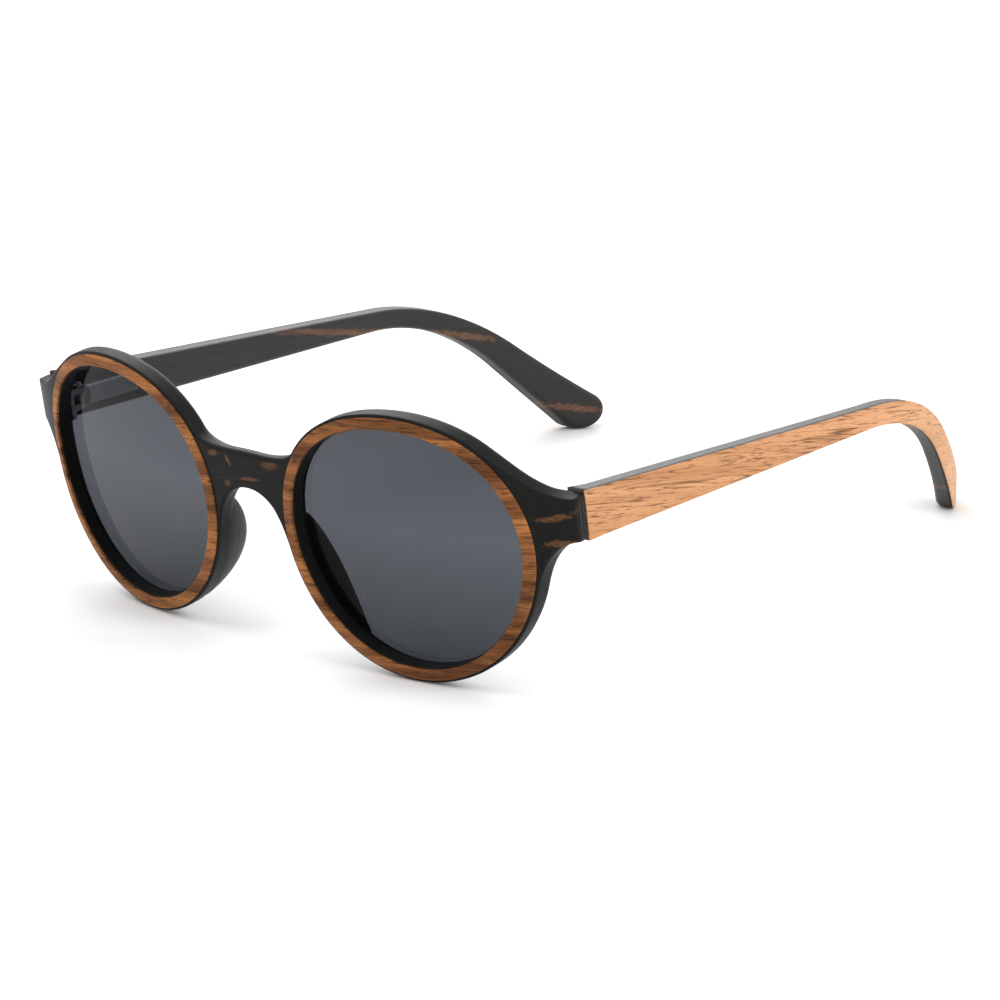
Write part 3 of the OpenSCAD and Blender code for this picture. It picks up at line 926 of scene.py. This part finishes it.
def front_soften(p):
    """Small roundings at the lens openings and butt faces, large ones on the bridge's top."""
    x = abs(p.x)
    gap = eye_gap(x, p.y)
    if gap < -RING_WIDTH / 2:
        return OPENING_SHARES
    end = share(x, END_X, END_X - BUTT_FADE)
    bridge = share(x, *SADDLE_X) * share(p.y, *SADDLE_Z)
    first = 1 + CHEEK_GROWTH * share(gap, *CHEEK_GAPS) * end
    last = (BUTT_SHARE + (1 - BUTT_SHARE) * end) * (1 + SADDLE_GROWTH * bridge)
    return first, last


def make_front():
    loops = [front_outline(), eye_loop(-RING_WIDTH, 1), eye_loop(-RING_WIDTH, -1)]
    depths = (RING_PROUD, FRONT_BACK)
    radii = (FRONT_EDGE, BACK_EDGE)
    obj = slab("front", loops, depths, radii, place_front, FRONT_SPACING, front_soften)
    for side in (-1, 1):
        cut(obj, leaf_pocket(side))
    obj.data.shade_smooth()
    obj.modifiers.new("even_normals", "WEIGHTED_NORMAL")
    dress(obj, "front", EBONY_FRONT, "ebony", "front_outer", "front_inner")


def place_ring(x, z, d):
    """The ring's face falls away a little towards its outer edge."""
    fall = RING_SLOPE * share(eye_gap(x, z), -RING_WIDTH, 0) * (1 - d / RING_PROUD)
    return place_front(x, z, d + fall)


def make_ring(side, name):
    loops = [eye_loop(-RING_TRIM, side), eye_loop(RING_TRIM - RING_WIDTH, side)]
    obj = slab(name, loops, (0, RING_PROUD), (RING_EDGE, RING_FOOT), place_ring, RING_SPACING)
    dress(obj, "front", RING_WOOD, "ring_wood", name)


def pad_section(u):
    """Points (out, depth) of the pad's section at a share of its length.

    They go up from the rim's wall, over the crest, down to the front's back and round inside the wood.
    """
    depth = PAD_DEPTH * math.sin(math.pi * u ** PAD_SKEW) ** PAD_POWER
    turn = (1 - share(depth, 0, PAD_MELT)) * math.pi / 2
    rim_out = RIM_MARGIN + PAD_PROUD - BACK_EDGE * (1 - math.cos(turn))
    rim = Vector((rim_out, FRONT_BACK - BACK_EDGE * (1 - math.sin(turn))))
    foot = Vector((PAD_INSET - RING_WIDTH, FRONT_BACK))
    rise = depth / CREST_SHARE
    over = rim + Vector((PAD_FLARE * depth / PAD_DEPTH, rise + (FRONT_BACK - rim.y) / 2))
    full = foot + Vector((-PAD_FULL * depth / PAD_DEPTH, rise))
    points = [rim] + blend_curve(rim, over, full, foot, PAD_ACROSS)
    return points + [foot + PAD_ROOTS[0], rim + PAD_ROOTS[1]]


def make_pad(side, word):
    """A crescent that grows out of the rim's wall and back, and melts into them at both ends."""
    bm = new_plate()
    rows = []
    for i in range(PAD_STEPS + 1):
        u = i / PAD_STEPS
        row = []
        for point in pad_section(u):
            at = eye_pt(PAD_FROM + (PAD_TO - PAD_FROM) * u, point.x)
            row.append(new_vert(bm, place_front, Vector((side * at.x, at.y)), point.y))
        rows.append(row)
    for row, after in zip(rows, rows[1:]):
        for k in range(len(row)):
            bm.faces.new((row[k], row[k - 1], after[k - 1], after[k]))
    bm.faces.new(rows[0])
    bm.faces.new(rows[-1])
    bmesh.ops.recalc_face_normals(bm, faces=bm.faces)
    dress(mesh_object(word + "_pad", bm), "front", EBONY_PAD, "ebony", word + "_nose_pad")


# The temples, in side view: points are (back, up) from the front's apex and the floor

LINE_0 = Vector((HINGE_Y, PIN.z))
LINE_1 = LINE_0 + STRAIGHT_LEN * Vector((math.cos(TEMPLE_FALL), -math.sin(TEMPLE_FALL)))
TIP_WAY = Vector((math.cos(TIP_SLOPE), -math.sin(TIP_SLOPE)))


def bend_pt(a):
    """The middle line's point on the bend where it slopes by the angle a."""
    x = math.sin(a) - math.sin(TEMPLE_FALL)
    y = math.cos(a) - math.cos(TEMPLE_FALL)
    return LINE_1 + BEND_RADIUS * Vector((x, y))


LINE_2 = bend_pt(TIP_SLOPE)
TIP_LEN = (LINE_2.y - TIP_H / 2) / math.sin(TIP_SLOPE)
BEND_LEN = BEND_RADIUS * (TIP_SLOPE - TEMPLE_FALL)


def side_h(s):
    """The temple's height at a length behind the start of the bend."""
    return BEND_H + (TIP_H - BEND_H) * (s / (BEND_LEN + TIP_LEN)) ** WIDEN


def edge_pt(p, a, h, up):
    """A point of the upper or lower edge, beside a point of the middle line that slopes by a."""
    return p + up * h / 2 * Vector((math.sin(a), math.cos(a)))


def seam_depth(p):
    """How far a point of the side view lies behind the leaning seam."""
    return p.x * COS_LEAN + (p.y - RING_LEVEL) * SIN_LEAN - SEAT_Y - SEAM_GAP


def temple_edge(up):
    """Points of the upper or lower edge, from the leaning seam to the tip."""
    near = edge_pt(LINE_0, TEMPLE_FALL, TEMPLE_H, up)
    far = edge_pt(LINE_1, TEMPLE_FALL, BEND_H, up)
    way = far - near
    first = near - way * seam_depth(near) / (way.x * COS_LEAN + way.y * SIN_LEAN)
    points = [first.lerp(far, i / LINE_STEPS) for i in range(LINE_STEPS)]
    for i in range(BEND_STEPS + 1):
        a = TEMPLE_FALL + (TIP_SLOPE - TEMPLE_FALL) * i / BEND_STEPS
        points.append(edge_pt(bend_pt(a), a, side_h(BEND_LEN * i / BEND_STEPS), up))
    for i in range(1, TIP_STEPS + 1):
        s = TIP_LEN * i / TIP_STEPS
        points.append(edge_pt(LINE_2 + s * TIP_WAY, TIP_SLOPE, side_h(BEND_LEN + s), up))
    return points


def temple_outline():
    upper = temple_edge(1)
    lower = temple_edge(-1)
    end = LINE_2 + TIP_LEN * TIP_WAY
    cap = []
    for i in range(1, CAP_STEPS):
        a = math.pi / 2 - TIP_SLOPE - math.pi * i / CAP_STEPS
        cap.append(end + TIP_H / 2 * Vector((math.cos(a), math.sin(a))))
    seam = [lower[0].lerp(upper[0], i / SEAM_STEPS) for i in range(1, SEAM_STEPS)]
    return upper + cap + lower[::-1] + seam


def place_temple(y, z, depth):
    """A point of the left temple's side view, at a depth from its outer face, in the curve of its plan."""
    start = HINGE_Y - PIN_SET
    p = -depth
    for _ in range(PLAN_ROUNDS):
        q = (y - start - p * math.sin(TOE_IN)) / math.cos(TOE_IN)
        past = max(q - PLAN_STRAIGHT, 0)
        p = math.sqrt((PLAN_CURVE - depth) ** 2 - past ** 2) - PLAN_CURVE
    x = END_X + p * math.cos(TOE_IN) - q * math.sin(TOE_IN)
    return Vector((x, y - MID_Y, z)) * MM


def seam_soften(p):
    """Roundings shrink at the temple's butt end."""
    along = share(seam_depth(p), 0, SEAM_FADE)
    return tuple(least + (1 - least) * along for least in SEAM_SHARES)


def make_temple(side, word):
    def place(y, z, d):
        v = place_temple(y, z, d)
        return Vector((side * v.x, v.y, v.z))

    loops = [temple_outline()]
    body = word + "_temple"
    depths = (0, VENEER_T)
    radii = (VENEER_EDGE, GLUE_EDGE)
    veneer = slab(word + "_veneer", loops, depths, radii, place, TEMPLE_SPACING, seam_soften)
    dress(veneer, body, VENEER_WOOD, "veneer", word + "_temple_veneer")
    depths = (VENEER_T, TEMPLE_T)
    radii = (GLUE_EDGE, INNER_EDGE)
    core = slab(word + "_core", loops, depths, radii, place, TEMPLE_SPACING, seam_soften)
    dress(core, body, EBONY_TEMPLE, "ebony", word + "_temple_core")


def make_spring(side, word):
    """The coil round the slider's rod, built at one length; the real coil shortens as the temple slides."""
    bm = bmesh.new()
    steps = COIL_STEPS * SPRING_TURNS
    rings = []
    for i in range(steps + 1):
        turn = 2 * math.pi * SPRING_TURNS * i / steps
        out = Vector((math.cos(turn), 0, math.sin(turn)))
        run = SPRING_FROM + WIRE_R + (SPRING_TO - SPRING_FROM - 2 * WIRE_R) * i / steps
        middle = Vector((PIN.x, PIN.y + run, PIN.z)) + SPRING_R * out
        ring = []
        for k in range(WIRE_SIDES):
            a = 2 * math.pi * k / WIRE_SIDES
            p = middle + WIRE_R * (math.cos(a) * out + math.sin(a) * Vector((0, 1, 0)))
            ring.append(bm.verts.new(Vector((side * p.x, p.y, p.z)) * MM))
        rings.append(ring)
    for ring, after in zip(rings, rings[1:]):
        for k in range(WIRE_SIDES):
            beside = (k + 1) % WIRE_SIDES
            bm.faces.new((ring[k], ring[beside], after[beside], after[k]))
    bm.faces.new(rings[0])
    bm.faces.new(rings[-1])
    bmesh.ops.recalc_face_normals(bm, faces=bm.faces)
    obj = mesh_object(word + "_coil", bm, even_normals=False)
    dress(obj, word + "_swing", SPRING_STEEL, "steel", word + "_spring")
    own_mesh(obj)


make_front()
for side, word in ((1, "left"), (-1, "right")):
    make_ring(side, word + "_ring")
    make_pad(side, word)
    make_temple(side, word)
    make_spring(side, word)
    wear_only(frame["nodes"][word + "_lens"], LENS_GLASS)
    for piece in HINGE_NODES:
        wear_only(frame["nodes"][word + "_" + piece], STEEL)


# Floor, light and camera


def make_floor():
    bm = bmesh.new()
    bmesh.ops.create_grid(bm, x_segments=1, y_segments=1, size=FLOOR_HALF)
    obj = mesh_object("floor", bm, even_normals=False)
    obj.location.z = FLOOR_LEVEL
    n = Nodes(bpy.data.materials.new("pale_floor"))
    far = n.math("DIVIDE", n.length(n.coords()), FLOOR_REACH)
    glow = n.ramp(far, *[(at / FLOOR_REACH, grey(level)) for at, level in FLOOR_GLOW])
    # the floor's own light is darkened where the piece is close above it: a painted contact shadow
    links = {"Distance": PAINTED_SHADOW_REACH}
    painted_shadow_ao = n.add("ShaderNodeAmbientOcclusion", links, samples=PAINTED_SHADOW_SAMPLES).outputs["AO"]
    glow = n.math("MULTIPLY", glow, n.math("POWER", painted_shadow_ao, PAINTED_SHADOW_POWER))
    shine = n.add("ShaderNodeEmission", {"Strength": n.math("MULTIPLY", n.seen(), glow)})
    both = n.add("ShaderNodeAddShader", {0: n.shader.outputs[0], 1: shine.outputs[0]})
    n.put(n.tree.nodes["Material Output"], "Surface", both.outputs[0])
    n.set(Base_Color=rgba(FLOOR_COLOUR), Roughness=FLOOR_ROUGH, Specular_IOR_Level=0.0)
    obj.data.materials.append(n.owner)


def make_world():
    """White where it is seen, and a softer light on the pieces."""
    n = Nodes(bpy.data.worlds.new("studio"), "Background")
    n.set(Color=rgba(WHITE), Strength=n.spread(n.seen(), WORLD_LIGHT, 1.0))
    bpy.context.scene.world = n.owner


def make_lamp(name, at, width, power):
    data = bpy.data.lights.new(name, "AREA")
    data.shape = "DISK"
    data.size = width
    data.energy = power
    obj = bpy.data.objects.new(name, data)
    obj.location = at
    obj.rotation_euler = (LAMP_AIM - Vector(at)).to_track_quat("-Z", "Y").to_euler()
    bpy.context.scene.collection.objects.link(obj)


def make_camera():
    data = bpy.data.cameras.new("camera")
    data.lens = CAMERA_LENS
    data.sensor_width = CAMERA_SENSOR
    data.clip_start = CAMERA_NEAR
    obj = bpy.data.objects.new("camera", data)
    back = Vector(
        (
            math.sin(CAMERA_AZIMUTH) * math.cos(CAMERA_ELEVATION),
            -math.cos(CAMERA_AZIMUTH) * math.cos(CAMERA_ELEVATION),
            math.sin(CAMERA_ELEVATION),
        )
    )
    level = Vector((math.cos(CAMERA_AZIMUTH), math.sin(CAMERA_AZIMUTH), 0))
    right = Matrix.Rotation(CAMERA_ROLL, 3, back) @ level
    up = back.cross(right)
    turn = Matrix((right, up, back)).transposed()
    obj.matrix_world = Matrix.Translation(CAMERA_AT) @ turn.to_4x4()
    bpy.context.scene.collection.objects.link(obj)
    bpy.context.scene.camera = obj


make_floor()
make_world()
for lamp in LAMPS:
    make_lamp(*lamp)
make_camera()
bpy.context.scene.view_settings.view_transform = "Standard"
